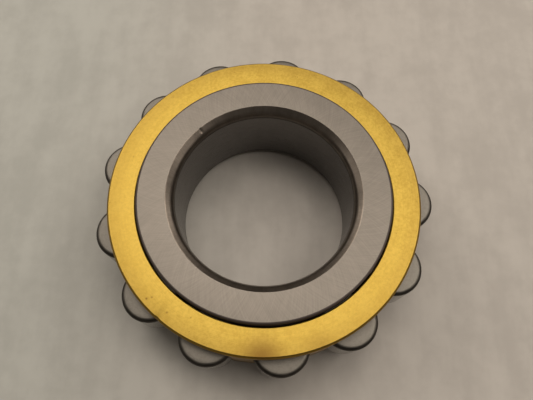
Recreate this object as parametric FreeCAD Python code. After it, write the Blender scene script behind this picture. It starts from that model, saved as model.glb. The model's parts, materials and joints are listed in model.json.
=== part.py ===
"""Cylindrical roller bearing without an outer ring, for a shaft of 45 mm.

An inner ring with two integral ribs carries a crown of thirteen rollers, held by a machined
two-piece cage. The rollers stand proud of the cage and run straight in the mating bore.

Row frame: +Z along the bearing's axis, origin at the centre of the bore at mid-width.
The first roller's axis lies on +X. All sizes are in millimetres and all angles in degrees.
"""

import FreeCAD, Part
import math
import os

# ---------------------------------------------------------------- driving dimensions
BORE_DIAMETER = 45.0
RING_WIDTH = 25.0
ROLLER_COUNT = 13
ROLLER_DIAMETER = 14.0
ROLLER_LENGTH = 14.0
ENVELOPE_DIAMETER = 86.5

# inner ring
RIB_DIAMETER = 63.6
RACEWAY_CLEARANCE = 0.02
ROLLER_END_PLAY = 0.05
BORE_CORNER_RADIAL = 2.0
BORE_CORNER_AXIAL = 3.0
BORE_CHAMFER_RADIAL = 1.2
BORE_CHAMFER_AXIAL = 1.0
RIB_CORNER = 0.55
RIB_LEAD_IN = 0.3
RELIEF_WIDTH = 0.9
RELIEF_DEPTH = 0.3
RELIEF_ON_RIB = 0.25

# rollers
ROLLER_CORNER_RADIAL = 1.0
ROLLER_CORNER_AXIAL = 1.0

# cage
CAGE_OUTER_DIAMETER = 78.4
CAGE_INNER_DIAMETER = 64.3
CAGE_WIDTH = 21.5
POCKET_CLEARANCE = 0.1
POCKET_END_PLAY = 0.25
CAGE_OUTER_CHAMFER = 0.5
CAGE_INNER_CHAMFER = 0.25
CROSSBAR_EDGE_BREAK = 0.1

# rivets, which are the crossbars' own ends upset over the cover
RIVET_WIDTH = 2.2
RIVET_LENGTH = 4.0
RIVET_ROOT = 0.3
RIVET_HEAD_OVERHANG = 0.45
RIVET_HEAD_HEIGHT = 0.45
RIVET_HEAD_ROUNDING = 0.3

# ---------------------------------------------------------------- sizes that follow
AXIS = FreeCAD.Vector(0, 0, 1)
ORIGIN = FreeCAD.Vector(0, 0, 0)
BORE_R = BORE_DIAMETER / 2
RIB_R = RIB_DIAMETER / 2
HALF_WIDTH = RING_WIDTH / 2
ROLLER_R = ROLLER_DIAMETER / 2
HALF_ROLLER = ROLLER_LENGTH / 2
PITCH_R = ENVELOPE_DIAMETER / 2 - ROLLER_R
RACEWAY_R = PITCH_R - ROLLER_R - RACEWAY_CLEARANCE
HALF_RACEWAY = HALF_ROLLER + ROLLER_END_PLAY
CAGE_OUTER_R = CAGE_OUTER_DIAMETER / 2
CAGE_INNER_R = CAGE_INNER_DIAMETER / 2
CAGE_MEAN_R = (CAGE_OUTER_R + CAGE_INNER_R) / 2
HALF_CAGE = CAGE_WIDTH / 2
POCKET_R = ROLLER_R + POCKET_CLEARANCE
HALF_POCKET = HALF_ROLLER + POCKET_END_PLAY
ROLLER_STEP = 360.0 / ROLLER_COUNT

# height of a corner's arc over its chord: 0.207 is a quarter circle, and less leaves an edge
RIB_CORNER_BULGE = 0.21
BORE_BLEND_BULGE = 0.09
ROLLER_CORNER_BULGE = 0.18
TOUCH = 1e-4


def point(r, z):
    """A point of a profile in the XZ plane, at radius r and height z."""
    return FreeCAD.Vector(r, 0, z)


def line(a, b):
    return Part.LineSegment(a, b).toShape()


def bulged_arc(a, b, outward, bulge):
    """An arc from a to b whose crown stands off the chord by bulge chords, on outward's side."""
    chord = b.sub(a)
    side = FreeCAD.Vector(chord.z, 0, -chord.x)
    side.normalize()
    if side.dot(outward) < 0:
        side = side.multiply(-1)
    crown = a.add(b).multiply(0.5).add(side.multiply(bulge * chord.Length))
    return Part.Arc(a, crown, b).toShape()


def turned(edges):
    """The solid that a closed profile of these edges sweeps about the bearing's axis."""
    wire = Part.Wire(edges)
    solid = Part.Face(wire).revolve(ORIGIN, AXIS, 360)
    return as_solid(solid)


def as_solid(shape):
    """The one solid in a shape, the right way out."""
    solid = shape.Solids[0]
    if solid.Volume < 0:
        solid.reverse()
    return solid


def mirrored_points(points):
    """The same profile points below mid-width, in the opposite order."""
    return [point(p.x, -p.z) for p in reversed(points)]


def around(shape, angle):
    copy = shape.copy()
    copy.rotate(ORIGIN, AXIS, angle)
    return copy


def on_pitch_circle(shape, index):
    """A copy of a shape made at the origin, moved to roller number index's place."""
    copy = shape.copy()
    copy.translate(FreeCAD.Vector(PITCH_R, 0, 0))
    return around(copy, index * ROLLER_STEP)


def crossbar_angle(index):
    """The crossbar after roller number index stands midway to the next roller."""
    return (index + 0.5) * ROLLER_STEP


# ---------------------------------------------------------------- inner ring
def ring_upper_half():
    """Profile edges from the bore at mid-width, over the upper face, to the raceway at mid-width.
    The bore's corner is a chamfer at the face that an arc blends into the bore."""
    bore_end = point(BORE_R, HALF_WIDTH - BORE_CORNER_AXIAL)
    face_start = point(BORE_R + BORE_CORNER_RADIAL, HALF_WIDTH)
    chamfer_end = point(face_start.x - BORE_CHAMFER_RADIAL, HALF_WIDTH - BORE_CHAMFER_AXIAL)
    face_end = point(RIB_R - RIB_CORNER, HALF_WIDTH)
    rib_top = point(RIB_R, HALF_WIDTH - RIB_CORNER)
    rib_foot = point(RIB_R, HALF_RACEWAY + RIB_LEAD_IN)
    lead_in_end = point(RIB_R - RIB_LEAD_IN, HALF_RACEWAY)
    relief_start = point(RACEWAY_R + RELIEF_ON_RIB, HALF_RACEWAY)
    relief_end = point(RACEWAY_R, HALF_RACEWAY - RELIEF_WIDTH)
    into_ring = point(-1, 1)
    relief_bulge = RELIEF_DEPTH / relief_end.sub(relief_start).Length
    return [
        line(point(BORE_R, 0), bore_end),
        bulged_arc(bore_end, chamfer_end, into_ring, BORE_BLEND_BULGE),
        line(chamfer_end, face_start),
        line(face_start, face_end),
        bulged_arc(face_end, rib_top, point(1, 1), RIB_CORNER_BULGE),
        line(rib_top, rib_foot),
        line(rib_foot, lead_in_end),
        line(lead_in_end, relief_start),
        bulged_arc(relief_start, relief_end, into_ring, relief_bulge),
        line(relief_end, point(RACEWAY_R, 0)),
    ]


def make_inner_ring():
    upper = turned(ring_upper_half() + [line(point(RACEWAY_R, 0), point(BORE_R, 0))])
    lower = upper.mirror(ORIGIN, AXIS)
    return as_solid(upper.fuse(lower).removeSplitter())


# ---------------------------------------------------------------- rollers
def make_roller():
    """A roller about the origin's Z axis, with unground corners between its end and its side."""
    end_edge = point(ROLLER_R - ROLLER_CORNER_RADIAL, HALF_ROLLER)
    side_edge = point(ROLLER_R, HALF_ROLLER - ROLLER_CORNER_AXIAL)
    lower_side, lower_end = mirrored_points([end_edge, side_edge])
    return turned(
        [
            line(point(0, -HALF_ROLLER), lower_end),
            bulged_arc(lower_end, lower_side, point(1, -1), ROLLER_CORNER_BULGE),
            line(lower_side, side_edge),
            bulged_arc(side_edge, end_edge, point(1, 1), ROLLER_CORNER_BULGE),
            line(end_edge, point(0, HALF_ROLLER)),
            line(point(0, HALF_ROLLER), point(0, -HALF_ROLLER)),
        ]
    )


# ---------------------------------------------------------------- cage
def cage_ring(z_face, z_joint):
    """A ring with the cage's section: chamfered at z_face, square at z_joint."""
    inward = 1 if z_face < z_joint else -1
    profile = [
        point(CAGE_INNER_R, z_joint),
        point(CAGE_INNER_R, z_face + inward * CAGE_INNER_CHAMFER),
        point(CAGE_INNER_R + CAGE_INNER_CHAMFER, z_face),
        point(CAGE_OUTER_R - CAGE_OUTER_CHAMFER, z_face),
        point(CAGE_OUTER_R, z_face + inward * CAGE_OUTER_CHAMFER),
        point(CAGE_OUTER_R, z_joint),
    ]
    return turned([line(a, b) for a, b in zip(profile, profile[1:] + profile[:1])])


def rivet_prism(width, length, z_low, z_high):
    """A prism with round ends, its long side radial, about the cage's mean radius on +X."""
    run = (length - width) / 2
    half = width / 2
    corners = [(-run, -half), (run, -half), (run, half), (-run, half)]
    low = [FreeCAD.Vector(CAGE_MEAN_R + x, y, z_low) for x, y in corners]
    outer_tip = FreeCAD.Vector(CAGE_MEAN_R + length / 2, 0, z_low)
    inner_tip = FreeCAD.Vector(CAGE_MEAN_R - length / 2, 0, z_low)
    wire = Part.Wire(
        [
            line(low[0], low[1]),
            Part.Arc(low[1], outer_tip, low[2]).toShape(),
            line(low[2], low[3]),
            Part.Arc(low[3], inner_tip, low[0]).toShape(),
        ]
    )
    return Part.Face(wire).extrude(FreeCAD.Vector(0, 0, z_high - z_low))


def make_rivet():
    """One crossbar's rivet: the shank through the cover, and the head upset below it."""
    shank = rivet_prism(RIVET_WIDTH, RIVET_LENGTH, -HALF_CAGE, -HALF_POCKET + RIVET_ROOT)
    head_width = RIVET_WIDTH + 2 * RIVET_HEAD_OVERHANG
    head_length = RIVET_LENGTH + 2 * RIVET_HEAD_OVERHANG
    head_low = -HALF_CAGE - RIVET_HEAD_HEIGHT
    head = rivet_prism(head_width, head_length, head_low, -HALF_CAGE)
    rim = [e for e in head.Edges if abs(e.BoundBox.ZMax - head_low) < TOUCH]
    head = head.makeFillet(RIVET_HEAD_ROUNDING, rim)
    return as_solid(shank.fuse(head).removeSplitter())


def pocket_cutters():
    """The thirteen blind bores, sunk from the cover's side to the plain face's plate."""
    bottom = FreeCAD.Vector(0, 0, -HALF_CAGE)
    cutter = Part.makeCylinder(POCKET_R, HALF_CAGE + HALF_POCKET, bottom)
    return [on_pitch_circle(cutter, i) for i in range(ROLLER_COUNT)]


def crossbar_edges(body):
    """The upright edges where a pocket's wall meets the cage's outer and inner walls."""
    found = []
    for edge in body.Edges:
        box = edge.BoundBox
        upright = box.ZLength > HALF_POCKET and box.XLength < TOUCH and box.YLength < TOUCH
        radius = math.hypot(box.Center.x, box.Center.y)
        on_wall = min(abs(radius - CAGE_OUTER_R), abs(radius - CAGE_INNER_R)) < TOUCH
        if upright and on_wall and box.ZMin < -HALF_POCKET + TOUCH:
            found.append(edge)
    return found


def make_cage_body():
    """The plain-faced side plate with its thirteen crossbars and their rivets, all one piece."""
    body = cage_ring(HALF_CAGE, -HALF_POCKET).cut(pocket_cutters())
    body = as_solid(body.removeSplitter())
    body = body.makeChamfer(CROSSBAR_EDGE_BREAK, crossbar_edges(body))
    rivet = make_rivet()
    rivets = [around(rivet, crossbar_angle(i)) for i in range(ROLLER_COUNT)]
    return as_solid(body.fuse(rivets).removeSplitter())


def make_cage_cover():
    """The flat ring that closes the pockets, with a hole for each crossbar's rivet."""
    cover = cage_ring(-HALF_CAGE, -HALF_POCKET)
    hole = rivet_prism(RIVET_WIDTH, RIVET_LENGTH, -HALF_CAGE - 1, -HALF_POCKET + 1)
    holes = [around(hole, crossbar_angle(i)) for i in range(ROLLER_COUNT)]
    return as_solid(cover.cut(holes).removeSplitter())


# ---------------------------------------------------------------- all pieces
def all_parts():
    parts = {
        "inner_ring": make_inner_ring(),
        "cage_body": make_cage_body(),
        "cage_cover": make_cage_cover(),
    }
    roller = make_roller()
    for i in range(ROLLER_COUNT):
        parts["roller_%02d" % (i + 1)] = on_pitch_circle(roller, i)
    return parts


def main():
    os.makedirs("parts", exist_ok=True)
    for name, shape in all_parts().items():
        valid = shape.isValid() and len(shape.Solids) == 1
        print("%-12s %9.1f mm3  %s" % (name, shape.Volume, "valid" if valid else "NOT VALID"))
        shape.exportStep("parts/%s.step" % name)


main()
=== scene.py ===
"""Looks of a cylindrical roller bearing without an outer ring.

A ground steel inner ring, thirteen ground rollers and a two-piece machined brass cage, lying
flat on a pale sheet. Every piece is rebuilt here as a finer mesh in its CAD node's place.
Lengths are in millimetres and angles in degrees, unless a name says otherwise.
"""

import json
import math
import bpy
import bmesh
from mathutils import Matrix, Vector


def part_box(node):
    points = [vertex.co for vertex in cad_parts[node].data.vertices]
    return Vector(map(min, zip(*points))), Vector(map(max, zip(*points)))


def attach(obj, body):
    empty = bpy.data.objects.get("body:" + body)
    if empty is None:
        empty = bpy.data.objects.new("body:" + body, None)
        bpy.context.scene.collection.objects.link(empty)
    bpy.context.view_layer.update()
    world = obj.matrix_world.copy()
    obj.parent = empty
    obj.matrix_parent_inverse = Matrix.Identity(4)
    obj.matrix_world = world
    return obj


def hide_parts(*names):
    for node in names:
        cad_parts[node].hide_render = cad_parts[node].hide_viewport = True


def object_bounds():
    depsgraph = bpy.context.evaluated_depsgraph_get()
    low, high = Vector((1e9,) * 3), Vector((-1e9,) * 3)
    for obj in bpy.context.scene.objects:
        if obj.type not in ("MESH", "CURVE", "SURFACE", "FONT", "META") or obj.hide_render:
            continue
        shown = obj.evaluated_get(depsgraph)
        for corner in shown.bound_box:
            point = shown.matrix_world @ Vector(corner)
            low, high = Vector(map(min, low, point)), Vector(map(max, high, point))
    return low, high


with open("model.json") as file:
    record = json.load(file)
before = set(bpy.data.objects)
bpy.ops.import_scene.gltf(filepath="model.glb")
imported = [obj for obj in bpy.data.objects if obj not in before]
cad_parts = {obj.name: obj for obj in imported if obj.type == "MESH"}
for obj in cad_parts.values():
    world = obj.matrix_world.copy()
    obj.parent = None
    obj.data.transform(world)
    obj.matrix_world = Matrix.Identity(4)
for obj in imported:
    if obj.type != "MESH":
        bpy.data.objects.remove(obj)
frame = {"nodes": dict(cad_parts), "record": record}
CAD_BOX = [list(corner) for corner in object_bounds()]

MM = 0.001

# ---------------------------------------------------------------- sizes read from the frame


def box_mm(node):
    """A CAD node's lowest and highest corner, in millimetres."""
    low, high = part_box(node)
    return low / MM, high / MM


def mount_radius(name):
    return next(m["dims"]["r_mm"] for m in frame["record"]["mounts"] if m["name"] == name)


ROLLER_NAMES = sorted(name for name in frame["nodes"] if name.startswith("roller_"))
ROLLER_COUNT = len(ROLLER_NAMES)
ROLLER_STEP = 360.0 / ROLLER_COUNT

RING_HIGH = box_mm("inner_ring")[1]
BORE_R = mount_radius("bore")
RIB_R = RING_HIGH.x
HALF_WIDTH = RING_HIGH.z

ROLLER_LOW, ROLLER_HIGH = box_mm("roller_01")
ROLLER_R = (ROLLER_HIGH.x - ROLLER_LOW.x) / 2
HALF_ROLLER = ROLLER_HIGH.z
PITCH_R = (ROLLER_HIGH.x + ROLLER_LOW.x) / 2

COVER_LOW, COVER_HIGH = box_mm("cage_cover")
CAGE_R = COVER_HIGH.x
HALF_CAGE = -COVER_LOW.z
HALF_POCKET = -COVER_HIGH.z
RIVET_LOW = box_mm("cage_body")[0].z

# ---------------------------------------------------------------- smaller sizes, as in CAD
RACEWAY_GAP = 0.02
ROLLER_END_PLAY = 0.05
BORE_CORNER_RADIAL = 2.0
BORE_CORNER_AXIAL = 3.0
BORE_CHAMFER_RADIAL = 1.2
BORE_CHAMFER_AXIAL = 1.0
BORE_PAINTED_SHADE_HEIGHT = 1.3  # how far painted shade darkens the bore's corner, up from its lower end
RIB_CORNER = 0.55
RIB_LEAD_IN = 0.3
RELIEF_WIDTH = 0.9
RELIEF_DEPTH = 0.3
RELIEF_ON_RIB = 0.25
ROLLER_CORNER_RADIAL = 1.0
ROLLER_CORNER_AXIAL = 1.0
CAGE_BORE_R = 32.15
POCKET_CLEARANCE = 0.1
CAGE_OUTER_CHAMFER = 0.5
CAGE_INNER_CHAMFER = 0.25
RIVET_WIDTH = 2.2
RIVET_LENGTH = 4.0
RIVET_HEAD_OVERHANG = 0.45
RIVET_HEAD_ROUNDING = 0.3

RACEWAY_R = PITCH_R - ROLLER_R - RACEWAY_GAP
ROLLER_INSET = 0.004  # keeps the round rollers within the CAD's many-sided ones
HALF_RACEWAY = HALF_ROLLER + ROLLER_END_PLAY
POCKET_R = ROLLER_R + POCKET_CLEARANCE

# height of a corner's arc over its chord: 0.207 is a quarter circle, and less leaves an edge
RIB_CORNER_BULGE = 0.207
BORE_BLEND_BULGE = 0.09
ROLLER_CORNER_BULGE = 0.18

# dents from handling: (radius, angle, z, reach, depth) on the bore's corner, and (angle, reach,
# depth) on the cage's upper outer edge
RING_NICKS = [(24.1, 134.2, 12.2, 0.5, 0.10), (23.7, 134.4, 11.8, 0.5, 0.08)]
CAGE_NICKS = [(-128.5, 1.1, 0.22)]

# how finely the meshes are cut
RING_TURNS = 576
ROLLER_TURNS = 120
ARC_CUTS = 9
RIB_CORNER_CUTS = 5
CHAMFER_CUTS = 4
RIVET_HEAD_CUTS = 4
BAR_CUTS = 8
POCKET_CUTS = 22
POCKET_SIDE_CUTS = 16
ROLLER_END_RINGS = (0, 0.2, 0.6, 0.9, 1)  # as shares of the flat end's radius

# points this close are welded, and edges sharper than this angle are rounded this wide
WELD_DISTANCE = 1e-4
ROUNDED_ANGLE = 18
RING_EDGE = 0.05
ROLLER_EDGE = 0.04
CAGE_EDGE = 0.06


# ---------------------------------------------------------------- mesh code
def polar(radius, angle, z=0.0):
    turn = math.radians(angle)
    return Vector((radius * math.cos(turn), radius * math.sin(turn), z))


def spread(count, start, end):
    """count steps from start to end, both ends included."""
    return [start + (end - start) * i / count for i in range(count + 1)]


def arc_between(a, b, outward, bulge, cuts=ARC_CUTS):
    """Points of an arc from a to b in a plane, whose crown is bulge chords off, towards outward."""
    chord = b - a
    side = Vector((chord.y, -chord.x)).normalized()
    if side.dot(outward) < 0:
        side = -side
    height = bulge * chord.length
    radius = (chord.length / 2) ** 2 / (2 * height) + height / 2
    centre = (a + b) / 2 + side * (height - radius)
    start = a - centre
    turn = start.angle_signed(b - centre)
    points = []
    for share in spread(cuts, 0, 1):
        c, s = math.cos(turn * share), -math.sin(turn * share)
        points.append(centre + Vector((c * start.x - s * start.y, s * start.x + c * start.y)))
    return points


class Shell:
    """The surface of one piece, laid down as rows of points and welded where they meet."""

    def __init__(self):
        self.points = []
        self.faces = []
        self.looks = []

    def rows(self, rows, look, closed=True):
        """Faces between each row of points and the next, all wearing the same look."""
        first = len(self.points)
        width = len(rows[0])
        for row in rows:
            self.points.extend(row)
        for j in range(len(rows) - 1):
            for i in range(width if closed else width - 1):
                k = (i + 1) % width
                low, high = first + j * width, first + (j + 1) * width
                self.faces.append((low + i, low + k, high + k, high + i))
                self.looks.append(look)

    def turn(self, outlines, turns):
        """The surfaces that outlines of (radius, z) points sweep about Z, above mid-width and
        again mirrored below it. outlines holds pairs of an outline and its look."""
        angles = [360.0 * i / turns for i in range(turns)]
        for side in (1, -1):
            for outline, look in outlines:
                self.rows([[polar(p.x, a, side * p.y) for a in angles] for p in outline], look)

    def dent(self, centre, reach, push):
        """Moves the points within reach of centre by push, in full at centre, fading outwards."""
        for i, point in enumerate(self.points):
            away = (point - centre).length / reach
            if away < 1:
                self.points[i] = point + push * (1 - away**2) ** 2

    def piece(self, name, looks, edge_width):
        """The welded, outward-facing object, its edges rounded by edge_width, with its looks."""
        mesh = bpy.data.meshes.new(name)
        build = bmesh.new()
        corners = [build.verts.new(p * MM) for p in self.points]
        for face, look in zip(self.faces, self.looks):
            build.faces.new([corners[i] for i in face]).material_index = looks.index(look)
        bmesh.ops.remove_doubles(build, verts=build.verts, dist=WELD_DISTANCE * MM)
        bmesh.ops.recalc_face_normals(build, faces=build.faces)
        for face in build.faces:
            face.smooth = True
        build.to_mesh(mesh)
        build.free()
        for look in looks:
            mesh.materials.append(look)
        made = bpy.data.objects.new(name, mesh)
        bpy.context.scene.collection.objects.link(made)
        round_edges(made, edge_width)
        return made


def round_edges(piece, width):
    """A fine rounding on every sharp edge, with flat faces that stay flat."""
    bevel = piece.modifiers.new("edge rounding", "BEVEL")
    bevel.width = width * MM
    bevel.segments = 2
    bevel.limit_method = "ANGLE"
    bevel.angle_limit = math.radians(ROUNDED_ANGLE)
    bevel.use_clamp_overlap = True
    even = piece.modifiers.new("even shading", "WEIGHTED_NORMAL")
    even.keep_sharp = True


def place(piece, body, slot, *nodes):
    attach(piece, body)
    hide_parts(*nodes)
    return piece


# ---------------------------------------------------------------- node code
# socket numbers of a mix node that mixes colours
MIX_SHARE, MIX_A, MIX_B, MIX_RESULT = 0, 6, 7, 2


class Recipe:
    """A procedural material, written as short calls that return output sockets."""

    def __init__(self, name, **constants):
        self.material = bpy.data.materials.new(name)
        self.material.use_nodes = True
        self.tree = self.material.node_tree
        self.shader = next(n for n in self.tree.nodes if n.type == "BSDF_PRINCIPLED")
        self.set(**constants)
        here = self.node("ShaderNodeTexCoord").outputs["Object"]
        self.place = self.vector("SCALE", here, scale=1 / MM)
        parts = self.node("ShaderNodeSeparateXYZ", {"Vector": self.place}).outputs
        self.x, self.y, self.z = parts["X"], parts["Y"], parts["Z"]
        self.radius = self.length(self.join(self.x, self.y, 0.0))
        self.angle = self.math("ARCTAN2", self.y, self.x)

    def node(self, kind, inputs=None, **settings):
        made = self.tree.nodes.new(kind)
        for key, value in settings.items():
            setattr(made, key, value)
        for key, value in (inputs or {}).items():
            self.feed(made.inputs[key], value)
        return made

    def feed(self, socket, value):
        if isinstance(value, bpy.types.NodeSocket):
            self.tree.links.new(value, socket)
        else:
            socket.default_value = value

    def set(self, **inputs):
        """Values or sockets for the shader's inputs, named with _ for a space."""
        for key, value in inputs.items():
            self.feed(self.shader.inputs[key.replace("_", " ")], value)

    def math(self, operation, a, b=0.0, clamp=False):
        made = self.node("ShaderNodeMath", {0: a, 1: b}, operation=operation, use_clamp=clamp)
        return made.outputs["Value"]

    def vector(self, operation, a, b=None, scale=None):
        inputs = {0: a}
        if b is not None:
            inputs[1] = b
        if scale is not None:
            inputs["Scale"] = scale
        return self.node("ShaderNodeVectorMath", inputs, operation=operation).outputs["Vector"]

    def length(self, vector):
        return self.node("ShaderNodeVectorMath", {0: vector}, operation="LENGTH").outputs["Value"]

    def join(self, x, y, z):
        return self.node("ShaderNodeCombineXYZ", {0: x, 1: y, 2: z}).outputs["Vector"]

    def weigh(self, *parts):
        """The sum of pairs of a value and its weight."""
        terms = [self.math("MULTIPLY", value, weight) for value, weight in parts]
        total = terms[0]
        for term in terms[1:]:
            total = self.math("ADD", total, term)
        return total

    def noise(self, vector, scale=1.0, detail=2.0, roughness=0.6):
        inputs = {"Vector": vector, "Scale": scale, "Detail": detail, "Roughness": roughness}
        return self.node("ShaderNodeTexNoise", inputs).outputs["Fac"]

    def band(self, value, low, high, out_low=0.0, out_high=1.0):
        """value between low and high, mapped smoothly to the out range."""
        inputs = {0: value, 1: low, 2: high, 3: out_low, 4: out_high}
        made = self.node("ShaderNodeMapRange", inputs, interpolation_type="SMOOTHSTEP")
        return made.outputs["Result"]

    def mix(self, share, a, b):
        """Colour a where share is 0, colour b where it is 1."""
        made = self.node("ShaderNodeMix", data_type="RGBA")
        for key, value in ((MIX_SHARE, share), (MIX_A, a), (MIX_B, b)):
            self.feed(made.inputs[key], value)
        return made.outputs[MIX_RESULT]

    def around(self, along, across, up=0.0, lean=0.0):
        """A place for noise that runs in lines about Z. The noise changes along times in a
        radian of turn, across times in a mm of radius and up times in a mm of height. lean
        slants its lines, in degrees of turn for each mm of radius."""
        shift = self.math("MULTIPLY", self.radius, math.radians(lean))
        turned = self.math("ADD", self.angle, shift)
        x = self.math("MULTIPLY", self.math("COSINE", turned), along)
        y = self.math("MULTIPLY", self.math("SINE", turned), along)
        outward = self.math("MULTIPLY", self.radius, across)
        upward = self.math("MULTIPLY", self.z, up)
        return self.join(x, y, self.math("ADD", outward, upward))

    def bump(self, height, depth):
        """A normal for relief whose height of 1 stands depth mm proud."""
        inputs = {"Height": height, "Distance": depth * MM, "Strength": 1.0}
        return self.node("ShaderNodeBump", inputs).outputs["Normal"]

    def ground(self, along, across, up=0.0, lean=0.0):
        """Noise drawn out into fine grinding or turning lines, from 0 to 1."""
        return self.noise(self.around(along, across, up, lean))

    def clouds(self, size, detail=4.0):
        """Soft uneven patches about size mm across, from 0 to 1, different on each piece."""
        random = self.node("ShaderNodeObjectInfo").outputs["Random"]
        apart = self.join(0.0, 0.0, self.math("MULTIPLY", random, 1000.0))
        return self.noise(self.vector("ADD", self.place, apart), 1 / size, detail)

    def patch(self, centre, size, strength):
        """A soft round patch about the bearing's axis, strength at centre (mm), 0 past size."""
        away = self.vector("SUBTRACT", self.join(self.x, self.y, 0.0), tuple(centre))
        return self.band(self.length(away), 0.0, size, strength, 0.0)

    def along_circle(self):
        """Makes the gloss stretch as it does on a turned surface."""
        tangent = self.node("ShaderNodeTangent", direction_type="RADIAL", axis="Z")
        self.set(Tangent=tangent.outputs["Tangent"])


# ---------------------------------------------------------------- materials
def steel_face():
    """The ring's ground side face: fine slanting arcs both ways, faint clouds."""
    r = Recipe("steel ground face", Metallic=1.0, Anisotropic=0.3)
    r.along_circle()
    one_way = r.ground(along=110, across=0.2, lean=0.9)
    other_way = r.ground(along=95, across=0.18, lean=-1.2)
    arcs = r.math("MULTIPLY", r.math("ADD", one_way, other_way), 0.5)
    clouds = r.clouds(6)
    light = r.band(r.weigh((arcs, 0.65), (clouds, 0.35)), 0.33, 0.67)
    r.set(Base_Color=r.mix(light, (0.200, 0.184, 0.165, 1), (0.262, 0.241, 0.216, 1)))
    r.set(Roughness=r.band(clouds, 0.3, 0.7, 0.38, 0.44))
    r.set(Normal=r.bump(arcs, 0.0012))
    return r.material


def steel_corner():
    """The ring's bore corners and reliefs, turned and hardened but not ground: brown and faintly
    blotched, with painted shade, nearly black, where the corner runs into the bore."""
    r = Recipe("steel turned corner", Metallic=1.0)
    marks = r.ground(along=70, across=0.3, up=0.3)
    blotches = r.clouds(2.5, 3.0)
    light = r.band(r.weigh((marks, 0.4), (blotches, 0.6)), 0.3, 0.7)
    turned = r.mix(light, (0.240, 0.210, 0.182, 1), (0.330, 0.289, 0.249, 1))
    bore_end = HALF_WIDTH - BORE_CORNER_AXIAL
    # painted shade: the corner's lower part mirrors the dark bore, so its colour is made nearly
    # black here
    bore_corner_painted_shade = r.band(r.math("ABSOLUTE", r.z), bore_end, bore_end + BORE_PAINTED_SHADE_HEIGHT, 1.0, 0.0)
    r.set(Base_Color=r.mix(bore_corner_painted_shade, turned, (0.045, 0.041, 0.037, 1)))
    r.set(Roughness=r.band(bore_corner_painted_shade, 0.0, 1.0, 0.32, 0.42))
    r.set(Normal=r.bump(marks, 0.001))
    return r.material


def steel_blackened():
    """The ribs' outer corners and sides: dull hardening scale, brown to black."""
    r = Recipe("steel blackened", Metallic=1.0)
    blotches = r.clouds(1.2)
    r.set(Base_Color=r.mix(blotches, (0.120, 0.102, 0.096, 1), (0.185, 0.160, 0.150, 1)))
    r.set(Roughness=r.band(blotches, 0.3, 0.7, 0.66, 0.80))
    r.set(Normal=r.bump(blotches, 0.01))
    return r.material


def steel_round():
    """The ring's ground round surfaces, in the bore and on the raceway."""
    r = Recipe("steel ground round", Metallic=1.0)
    lines = r.ground(along=5, across=0.0, up=7.0)
    r.set(Base_Color=r.mix(r.clouds(6), (0.149, 0.140, 0.135, 1), (0.203, 0.193, 0.185, 1)))
    r.set(Roughness=r.band(lines, 0.3, 0.7, 0.26, 0.36))
    r.set(Normal=r.bump(lines, 0.002))
    return r.material


def roller_end():
    """A roller's end face: matt, mottled grey, with faint lines about its axis."""
    r = Recipe("roller end", Metallic=1.0)
    mottle = r.clouds(1.0, 5.0)
    lines = r.ground(along=3, across=6.0)
    tone = r.weigh((mottle, 0.75), (lines, 0.25))
    light = r.band(tone, 0.35, 0.65)
    r.set(Base_Color=r.mix(light, (0.188, 0.178, 0.158, 1), (0.246, 0.234, 0.212, 1)))
    r.set(Roughness=r.band(mottle, 0.3, 0.7, 0.44, 0.56))
    r.set(Normal=r.bump(tone, 0.008))
    return r.material


def roller_corner():
    """A roller's unground corner: nearly black, greyer where it leaves the ground end face, a band
    that is partly wear and partly a painted highlight.
    """
    r = Recipe("roller corner", Metallic=1.0)
    blotches = r.clouds(0.9)
    scale = r.mix(blotches, (0.035, 0.031, 0.027, 1), (0.085, 0.077, 0.068, 1))
    end_r = ROLLER_R - ROLLER_CORNER_RADIAL
    # partly wear, partly a painted highlight: a greyer band along the end face's edge
    wear_and_highlight = r.band(r.radius, end_r, end_r + 0.6 * ROLLER_CORNER_RADIAL, 1.0, 0.0)
    r.set(Base_Color=r.mix(wear_and_highlight, scale, (0.180, 0.170, 0.152, 1)))
    r.set(Roughness=r.band(blotches, 0.3, 0.7, 0.42, 0.6))
    r.set(Normal=r.bump(blotches, 0.012))
    return r.material


def roller_side():
    """A roller's ground running surface, with fine lines round it."""
    r = Recipe("roller side", Metallic=1.0)
    lines = r.ground(along=2, across=0.0, up=9.0)
    r.set(Base_Color=r.mix(r.clouds(3), (0.30, 0.285, 0.265, 1), (0.40, 0.382, 0.355, 1)))
    r.set(Roughness=r.band(lines, 0.3, 0.7, 0.18, 0.28))
    r.set(Normal=r.bump(lines, 0.002))
    return r.material


BRASS_DARK_PATCHES = [  # radius and angle of the middle, half width, strength
    (37.5, -136.0, 0.45, 0.8),
    (36.4, -135.0, 0.35, 0.7),
    (36.5, -127.0, 0.40, 0.7),
    (34.4, -118.5, 0.30, 0.6),
    # a broad darker patch at the front outer edge, and a fainter one beside it
    (38.4, -90.0, 7.0, 0.62),
    (38.2, -70.0, 5.0, 0.20),
]
BRASS_DARKER_FROM = 34.0
BRASS_DARKEST_AT = 38.4


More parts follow.
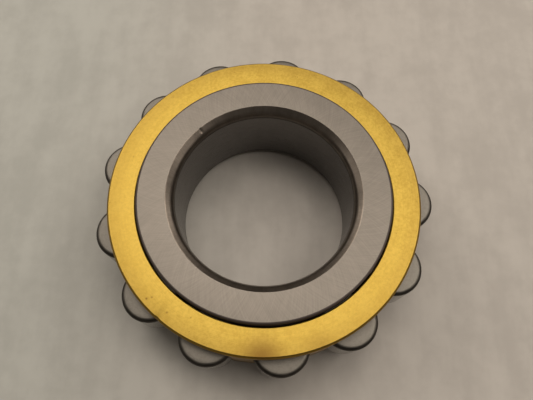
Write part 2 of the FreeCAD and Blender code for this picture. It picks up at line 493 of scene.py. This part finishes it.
def brass(name, turned_across, turned_up, painted_shade_level=0.0):
    """Machined brass with the tool's lines round the axis, clouded, speckled, with small stains and
    darker patches, and a little darker towards its outer edge. The last argument darkens all of it,
    from 0 to 1, as painted shade for the edges, walls and bored faces."""
    r = Recipe(name, Metallic=1.0, Anisotropic=0.4)
    r.along_circle()
    lines = r.ground(along=2.5, across=turned_across, up=turned_up)
    clouds = r.clouds(4)
    grain = r.clouds(0.65, 3.0)
    tone = r.weigh((lines, 0.2), (clouds, 0.3), (grain, 0.5))
    bright = r.mix(r.band(tone, 0.35, 0.65), (0.500, 0.342, 0.064, 1), (0.650, 0.462, 0.098, 1))
    # the speckles sit on an even darkening set by the last argument, which is painted shade
    dark = r.band(r.clouds(0.7, 2.0), 0.68, 0.80, painted_shade_level, 0.5 + 0.5 * painted_shade_level)
    for radius, angle, size, strength in BRASS_DARK_PATCHES:
        dark = r.math("MAXIMUM", dark, r.patch(polar(radius, angle), size, strength))
    outward = r.band(r.radius, BRASS_DARKER_FROM, BRASS_DARKEST_AT, 0.0, 0.2)
    dark = r.math("ADD", dark, outward, clamp=True)
    r.set(Base_Color=r.mix(dark, bright, (0.20, 0.105, 0.025, 1)))
    r.set(Roughness=r.band(tone, 0.35, 0.65, 0.36, 0.46))
    r.set(Normal=r.bump(r.math("ADD", lines, r.math("MULTIPLY", grain, 0.6)), 0.004))
    return r.material


# the sheet's tint changes between these two places
SHEET_GREEN_X = -75.0
SHEET_PALE_X = 15.0


def sheet():
    """The pale sheet that the bearing lies on: matt and faintly mottled, with broad soft streaks of
    painted crease shading and sheen, and a little greener to the left."""
    r = Recipe("pale sheet", Roughness=0.62)
    # painted shade and sheen of creases: stretched noise that lightens and darkens the sheet's
    # colour
    drawn_out = r.join(r.math("MULTIPLY", r.x, 0.14), r.math("MULTIPLY", r.y, 0.03), 0.0)
    painted_crease_shading = r.noise(drawn_out, detail=3.0, roughness=0.55)
    tone = r.weigh((r.clouds(30), 0.35), (r.clouds(5), 0.3), (painted_crease_shading, 0.35))
    light = r.band(tone, 0.38, 0.62)
    pale = r.mix(light, (0.470, 0.449, 0.422, 1), (0.550, 0.528, 0.497, 1))
    green = r.mix(light, (0.435, 0.446, 0.421, 1), (0.509, 0.523, 0.495, 1))
    r.set(Base_Color=r.mix(r.band(r.x, SHEET_GREEN_X, SHEET_PALE_X), green, pale))
    return r.material


# ---------------------------------------------------------------- inner ring
def make_inner_ring(face, corner, outside, bore):
    shell = Shell()
    bore_end = Vector((BORE_R, HALF_WIDTH - BORE_CORNER_AXIAL))
    face_start = Vector((BORE_R + BORE_CORNER_RADIAL, HALF_WIDTH))
    chamfer_end = face_start - Vector((BORE_CHAMFER_RADIAL, BORE_CHAMFER_AXIAL))
    face_end = Vector((RIB_R - RIB_CORNER, HALF_WIDTH))
    rib_top = Vector((RIB_R, HALF_WIDTH - RIB_CORNER))
    rib_foot = Vector((RIB_R, HALF_RACEWAY + RIB_LEAD_IN))
    lead_in = Vector((RIB_R - RIB_LEAD_IN, HALF_RACEWAY))
    relief_start = Vector((RACEWAY_R + RELIEF_ON_RIB, HALF_RACEWAY))
    relief_end = Vector((RACEWAY_R, HALF_RACEWAY - RELIEF_WIDTH))
    relief_bulge = RELIEF_DEPTH / (relief_end - relief_start).length
    inward_up, outward_up = Vector((-1, 1)), Vector((1, 1))
    blend = arc_between(bore_end, chamfer_end, inward_up, BORE_BLEND_BULGE)
    chamfer = [chamfer_end.lerp(face_start, share) for share in spread(CHAMFER_CUTS, 0, 1)]
    rib_corner = arc_between(face_end, rib_top, outward_up, RIB_CORNER_BULGE, RIB_CORNER_CUTS)
    relief = arc_between(relief_start, relief_end, inward_up, relief_bulge)
    outlines = [
        ([Vector((BORE_R, 0)), bore_end], bore),
        (blend, corner),
        (chamfer, corner),
        ([face_start, (face_start + face_end) / 2, face_end], face),
        (rib_corner, outside),
        ([rib_top, rib_foot], outside),
        ([rib_foot, lead_in], outside),
        ([lead_in, relief_start], bore),
        (relief, corner),
        ([relief_end, Vector((RACEWAY_R, 0))], bore),
    ]
    shell.turn(outlines, RING_TURNS)
    for radius, angle, z, reach, depth in RING_NICKS:
        shell.dent(polar(radius, angle, z), reach, polar(depth, angle, -depth))
    piece = shell.piece("inner_ring_fine", [face, corner, outside, bore], RING_EDGE)
    return place(piece, "inner_ring", "ring_steel", "inner_ring")


# ---------------------------------------------------------------- rollers
def make_roller(index, end, corner, side):
    name = ROLLER_NAMES[index]
    shell = Shell()
    side_r = ROLLER_R - ROLLER_INSET
    end_edge = Vector((ROLLER_R - ROLLER_CORNER_RADIAL, HALF_ROLLER))
    side_edge = Vector((side_r, HALF_ROLLER - ROLLER_CORNER_AXIAL))
    flat_end = [Vector((end_edge.x * share, HALF_ROLLER)) for share in ROLLER_END_RINGS]
    rim = arc_between(end_edge, side_edge, Vector((1, 1)), ROLLER_CORNER_BULGE)
    outlines = [(flat_end, end), (rim, corner), ([side_edge, Vector((side_r, 0))], side)]
    shell.turn(outlines, ROLLER_TURNS)
    piece = shell.piece(name + "_fine", [end, corner, side], ROLLER_EDGE)
    piece.location = polar(PITCH_R, index * ROLLER_STEP) * MM
    return place(piece, name, "roller_steel", name)


# ---------------------------------------------------------------- cage
def half_opening(radius):
    """Half the angle that a pocket takes out of a circle about the bearing's axis."""
    reach = (PITCH_R**2 + radius**2 - POCKET_R**2) / (2 * PITCH_R * radius)
    return math.degrees(math.acos(reach))


OPEN_OUTSIDE = half_opening(CAGE_R)
OPEN_INSIDE = half_opening(CAGE_BORE_R)
CAGE_MEAN_R = (CAGE_R + CAGE_BORE_R) / 2


def cage_angles(radius):
    """Angles of the points on a circle of the cage: each pocket's, then the next crossbar's."""
    share = (radius - CAGE_BORE_R) / (CAGE_R - CAGE_BORE_R)
    opening = OPEN_INSIDE + (OPEN_OUTSIDE - OPEN_INSIDE) * share
    angles = []
    for i in range(ROLLER_COUNT):
        pocket = i * ROLLER_STEP
        angles += spread(POCKET_CUTS, pocket - opening, pocket + opening)[:-1]
        angles += spread(BAR_CUTS, pocket + opening, pocket + ROLLER_STEP - opening)[:-1]
    return angles


def cage_walls(shell, outline, look):
    """The surface that an outline of (radius, z) points sweeps, cut where the crossbars are."""
    shell.rows([[polar(p.x, a, p.y) for a in cage_angles(p.x)] for p in outline], look)


def pocket_side(index, side, z):
    """Points down a pocket's wall, from the cage's outer wall to its inner wall. side is 1 for
    the wall at the larger angle and -1 for the other."""
    centre = polar(PITCH_R, index * ROLLER_STEP, z)
    out = polar(CAGE_R, index * ROLLER_STEP + side * OPEN_OUTSIDE, z) - centre
    inn = polar(CAGE_BORE_R, index * ROLLER_STEP + side * OPEN_INSIDE, z) - centre
    turn = -out.xy.angle_signed(inn.xy)
    shares = spread(POCKET_SIDE_CUTS, 0, 1)
    return [centre + Matrix.Rotation(turn * share, 3, "Z") @ out for share in shares]


def circle_part(radius, start, end, cuts, z):
    return [polar(radius, a, z) for a in spread(cuts, start, end)]


def pocket_floor(shell, index, z, look):
    """The flat end of a pocket, spanned between its two walls and the cage's two circles."""
    pocket = index * ROLLER_STEP
    low, high = pocket_side(index, -1, z), pocket_side(index, 1, z)
    outer = circle_part(CAGE_R, pocket - OPEN_OUTSIDE, pocket + OPEN_OUTSIDE, POCKET_CUTS, z)
    inner = circle_part(CAGE_BORE_R, pocket - OPEN_INSIDE, pocket + OPEN_INSIDE, POCKET_CUTS, z)
    rows = []
    for j, inward in enumerate(spread(POCKET_SIDE_CUTS, 0, 1)):
        row = []
        for i, along in enumerate(spread(POCKET_CUTS, 0, 1)):
            between_circles = outer[i].lerp(inner[i], inward)
            between_walls = low[j].lerp(high[j], along)
            outer_chord = outer[0].lerp(outer[-1], along)
            inner_chord = inner[0].lerp(inner[-1], along)
            row.append(between_circles + between_walls - outer_chord.lerp(inner_chord, inward))
        rows.append(row)
    shell.rows(rows, look, closed=False)


def crossbar_outline(index, z):
    """A closed loop round the crossbar that follows roller number index."""
    low, high = index * ROLLER_STEP, (index + 1) * ROLLER_STEP
    outer = circle_part(CAGE_R, low + OPEN_OUTSIDE, high - OPEN_OUTSIDE, BAR_CUTS, z)
    inner = circle_part(CAGE_BORE_R, high - OPEN_INSIDE, low + OPEN_INSIDE, BAR_CUTS, z)
    down = pocket_side(index + 1, -1, z)
    up = list(reversed(pocket_side(index, 1, z)))
    return outer[:-1] + down[:-1] + inner[:-1] + up[:-1]


def rivet_loop(index, directions, grow, z):
    """A closed loop round a rivet whose section is grow mm larger all round than its shank's.
    Its points lie in the given directions from the rivet's centre."""
    half_run = (RIVET_LENGTH - RIVET_WIDTH) / 2
    round_r = RIVET_WIDTH / 2 + grow
    middle = (index + 0.5) * ROLLER_STEP
    centre = polar(CAGE_MEAN_R, middle, z)
    loop = []
    for direction in directions:
        turn = direction - math.radians(middle)
        along, across = math.cos(turn), math.sin(turn)
        if abs(along) * round_r < abs(across) * half_run:
            reach = round_r / abs(across)
        else:
            reach = abs(along) * half_run + math.sqrt(round_r**2 - (across * half_run) ** 2)
        loop.append(centre + Vector((math.cos(direction), math.sin(direction), 0)) * reach)
    return loop


def rivet_directions(index, outline):
    """The direction of each point of an outline from the rivet's centre, in radians."""
    centre = polar(CAGE_MEAN_R, (index + 0.5) * ROLLER_STEP)
    return [math.atan2(p.y - centre.y, p.x - centre.x) for p in outline]


def make_crossbar(shell, index, turned, bored):
    """A crossbar from the side plate down to the cover, and the rivet on its end."""
    top, foot = crossbar_outline(index, HALF_POCKET), crossbar_outline(index, -HALF_POCKET)
    shell.rows([top, foot], bored)
    directions = rivet_directions(index, foot)
    sections = [(0, -HALF_POCKET), (0, -HALF_CAGE), (RIVET_HEAD_OVERHANG, -HALF_CAGE)]
    for turn in spread(RIVET_HEAD_CUTS, 0, math.pi / 2):
        inset = RIVET_HEAD_ROUNDING * (1 - math.cos(turn))
        rise = RIVET_HEAD_ROUNDING * (1 - math.sin(turn))
        sections.append((RIVET_HEAD_OVERHANG - inset, RIVET_LOW + rise))
    loops = [rivet_loop(index, directions, grow, z) for grow, z in sections]
    centre = polar(CAGE_MEAN_R, (index + 0.5) * ROLLER_STEP, RIVET_LOW)
    inner_cap = [centre + (p - centre) * 0.5 for p in loops[-1]]
    shell.rows([foot] + loops + [inner_cap, [centre] * len(foot)], turned)


def cage_profile(z_face, z_joint):
    """The cage's section: chamfered at z_face, square at z_joint."""
    way = 1 if z_face < z_joint else -1
    return [
        Vector((CAGE_BORE_R, z_joint)),
        Vector((CAGE_BORE_R, z_face + way * CAGE_INNER_CHAMFER)),
        Vector((CAGE_BORE_R + CAGE_INNER_CHAMFER, z_face)),
        Vector((CAGE_MEAN_R, z_face)),
        Vector((CAGE_R - CAGE_OUTER_CHAMFER, z_face)),
        Vector((CAGE_R, z_face + way * CAGE_OUTER_CHAMFER)),
        Vector((CAGE_R, z_joint)),
    ]


def make_cage_body(turned, edges, walls, bored):
    """The side plate with its chamfers, the crossbars below it and the nick in its outer edge."""
    shell = Shell()
    profile = cage_profile(HALF_CAGE, HALF_POCKET)
    cage_walls(shell, profile[:2], walls)
    cage_walls(shell, profile[1:5], turned)
    cage_walls(shell, profile[4:6], edges)
    cage_walls(shell, profile[5:], walls)
    for i in range(ROLLER_COUNT):
        pocket_floor(shell, i, HALF_POCKET, bored)
        make_crossbar(shell, i, turned, bored)
    for angle, reach, depth in CAGE_NICKS:
        shell.dent(polar(CAGE_R, angle, HALF_CAGE), reach, polar(-depth, angle, -depth))
    piece = shell.piece("cage_body_fine", [turned, edges, walls, bored], CAGE_EDGE)
    return place(piece, "cage", "cage_brass", "cage_body")


def make_cage_cover(turned, walls):
    """The cover, with a hole right through for each rivet."""
    shell = Shell()
    profile = cage_profile(-HALF_CAGE, -HALF_POCKET)
    cage_walls(shell, profile[:3], walls)
    cage_walls(shell, profile[4:], walls)
    cuts = POCKET_CUTS + BAR_CUTS
    for z, inner_r, outer_r in (
        (-HALF_POCKET, CAGE_BORE_R, CAGE_R),
        (-HALF_CAGE, CAGE_BORE_R + CAGE_INNER_CHAMFER, CAGE_R - CAGE_OUTER_CHAMFER),
    ):
        inner_angles, outer_angles = cage_angles(inner_r), cage_angles(outer_r)
        for i in range(ROLLER_COUNT):
            inner = [polar(inner_r, a, z) for a in inner_angles[i * cuts : (i + 1) * cuts]]
            outer = [polar(outer_r, a, z) for a in outer_angles[i * cuts : (i + 1) * cuts]]
            after = (i + 1) * cuts % len(inner_angles)
            inner.append(polar(inner_r, inner_angles[after], z))
            outer.append(polar(outer_r, outer_angles[after], z))
            shell.rows([inner[: POCKET_CUTS + 1], outer[: POCKET_CUTS + 1]], turned, closed=False)
            window = outer[POCKET_CUTS:] + list(reversed(inner[POCKET_CUTS:]))
            directions = rivet_directions(i, window)
            hole = rivet_loop(i, directions, 0, z)
            shell.rows([window, hole], turned)
            if z == -HALF_POCKET:
                foot = rivet_loop(i, directions, 0, -HALF_CAGE)
                shell.rows([hole, foot], walls)
    piece = shell.piece("cage_cover_fine", [turned, walls], CAGE_EDGE)
    return place(piece, "cage", "cage_brass", "cage_cover")


# ---------------------------------------------------------------- stage, light and camera
SHEET_HALF = 1500

LIGHT_COLOUR = (1.0, 0.89, 0.77)
LIGHT_SIZE = 0.5  # in metres
LIGHT_DISTANCE = 1.0  # in metres
ROOM_STRENGTH = 0.075
SOFT_LIGHTS = [  # name, azimuth (0 is +X and 90 is +Y), elevation, power in watts
    ("window left", 135, 35, 2.2),
    ("window right", 45, 35, 2.35),
    ("room right", 0, 60, 2.4),
    ("room left", 178, 22, 0.4),
    ("low right", -8, 22, 0.45),
    ("ceiling left", 135, 60, 1.15),
    ("ceiling behind", 90, 68, 1.15),
    ("ceiling", 90, 82, 0.9),
]

CAMERA_PLACE = (0.28, -44.56, 129.04)
CAMERA_HEADING = 0.37  # to the right of +Y
CAMERA_DIP = 69.89
CAMERA_ROLL = 1.2
CAMERA_LENS = 34.18
SENSOR_WIDTH = 36
CLIP_START = 10


def make_stage():
    floor_z = CAD_BOX[0][2]
    mesh = bpy.data.meshes.new("sheet")
    half = SHEET_HALF * MM
    corners = [(-half, -half), (half, -half), (half, half), (-half, half)]
    mesh.from_pydata([(x, y, floor_z) for x, y in corners], [], [(0, 1, 2, 3)])
    mesh.materials.append(sheet())
    floor = bpy.data.objects.new("sheet", mesh)
    bpy.context.scene.collection.objects.link(floor)


def soft_light(name, azimuth, elevation, power):
    """A square soft light aimed at the bearing."""
    data = bpy.data.lights.new(name, "AREA")
    data.size = LIGHT_SIZE
    data.energy = power
    data.color = LIGHT_COLOUR
    light = bpy.data.objects.new(name, data)
    flat = math.cos(math.radians(elevation))
    way = polar(flat, azimuth, math.sin(math.radians(elevation)))
    light.location = way * LIGHT_DISTANCE
    light.rotation_mode = "QUATERNION"
    light.rotation_quaternion = way.to_track_quat("Z", "Y")
    bpy.context.scene.collection.objects.link(light)


def make_lights():
    """A dim soft room with two wide windows behind the bearing, and light from above and beside."""
    world = bpy.data.worlds.new("soft room")
    world.use_nodes = True
    background = world.node_tree.nodes["Background"]
    background.inputs["Color"].default_value = (*LIGHT_COLOUR, 1)
    background.inputs["Strength"].default_value = ROOM_STRENGTH
    bpy.context.scene.world = world
    for light in SOFT_LIGHTS:
        soft_light(*light)


def make_camera():
    """The camera close above the bearing, a little in front of it."""
    data = bpy.data.cameras.new("camera")
    data.sensor_width = SENSOR_WIDTH
    data.lens = CAMERA_LENS
    data.clip_start = CLIP_START * MM
    camera = bpy.data.objects.new("camera", data)
    dip = math.radians(CAMERA_DIP)
    ahead = polar(math.cos(dip), 90 - CAMERA_HEADING, -math.sin(dip))
    right = polar(1, -CAMERA_HEADING)
    up = right.cross(ahead)
    turn = math.radians(CAMERA_ROLL)
    right, up = (
        right * math.cos(turn) + up * math.sin(turn),
        up * math.cos(turn) - right * math.sin(turn),
    )
    axes = Matrix((right, up, -ahead)).transposed()
    camera.matrix_world = Matrix.Translation(Vector(CAMERA_PLACE) * MM) @ axes.to_4x4()
    bpy.context.scene.collection.objects.link(camera)
    bpy.context.scene.camera = camera


# ---------------------------------------------------------------- the scene
make_camera()
make_lights()
make_stage()

make_inner_ring(steel_face(), steel_corner(), steel_blackened(), steel_round())
ROLLER_LOOKS = (roller_end(), roller_corner(), roller_side())
for number in range(ROLLER_COUNT):
    make_roller(number, *ROLLER_LOOKS)
BRASS_FACE = brass("brass turned face", turned_across=5.0, turned_up=0.0)
# the edge, wall and bored copies carry painted shade, as those faces lie in shade
BRASS_EDGE = brass("brass turned edge", turned_across=5.0, turned_up=0.0, painted_shade_level=0.4)
BRASS_WALL = brass("brass turned wall", turned_across=0.0, turned_up=4.0, painted_shade_level=0.7)
BRASS_BORED = brass("brass bored", turned_across=0.0, turned_up=2.5, painted_shade_level=0.6)
make_cage_body(BRASS_FACE, BRASS_EDGE, BRASS_WALL, BRASS_BORED)
make_cage_cover(BRASS_FACE, BRASS_WALL)

bpy.context.scene.view_settings.view_transform = "Standard"

bpy.context.view_layer.update()
